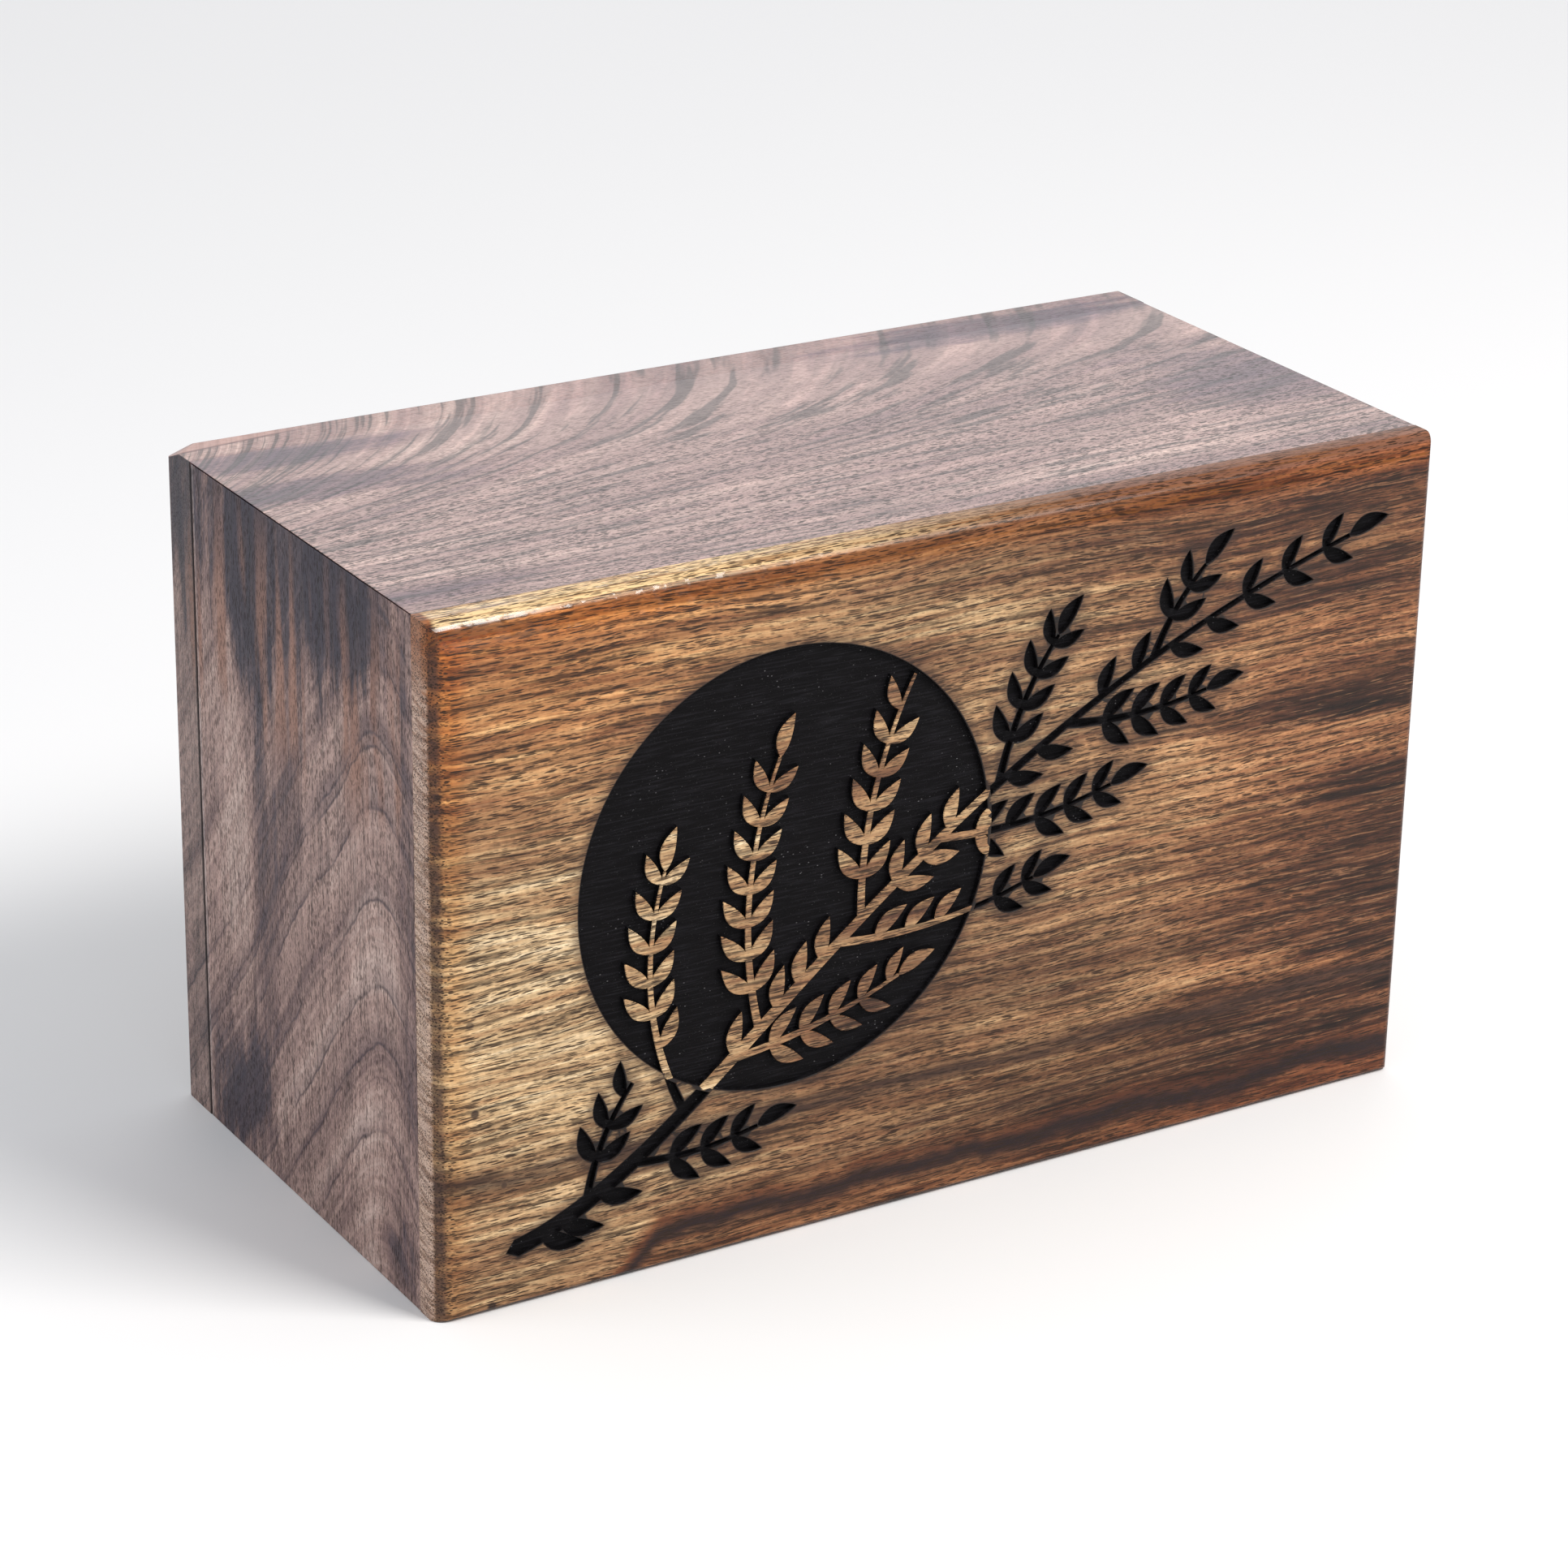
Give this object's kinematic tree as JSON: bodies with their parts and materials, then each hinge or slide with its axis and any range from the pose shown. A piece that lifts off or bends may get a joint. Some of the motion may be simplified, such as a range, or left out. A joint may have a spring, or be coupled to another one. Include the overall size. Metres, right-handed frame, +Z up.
{
  "type": "cremation urn box",
  "caption": "Rectangular wooden cremation urn box: mitred top, rounded front edges, engraved leafy branch and moon, screwed base panel over a hollow chamber.",
  "frame": {"origin": "middle of the underside, on the surface that the box stands on", "axes": "+Z up, the engraved front faces -Y, +X to the right of someone looking at the front"},
  "size_m": [0.254, 0.127, 0.159],
  "materials": {
    "front_wood": "clear gloss lacquer over golden brown figured wood, engraving charred matt black",
    "top_wood": "clear gloss lacquer over rose brown wood",
    "side_wood": "clear gloss lacquer over grey brown figured wood",
    "back_wood": "satin lacquer",
    "base_wood": "thinly sealed, matt",
    "screw_steel": "zinc plated"
  },
  "bodies": {
    "root": {"front_board": "front_wood", "top_board": "top_wood", "left_side": "side_wood", "right_side": "side_wood", "back_board": "back_wood", "base_panel": "base_wood", "base_screw_front_left": "screw_steel", "base_screw_front_right": "screw_steel", "base_screw_back_left": "screw_steel", "base_screw_back_right": "screw_steel"}
  },
  "joints": []
}
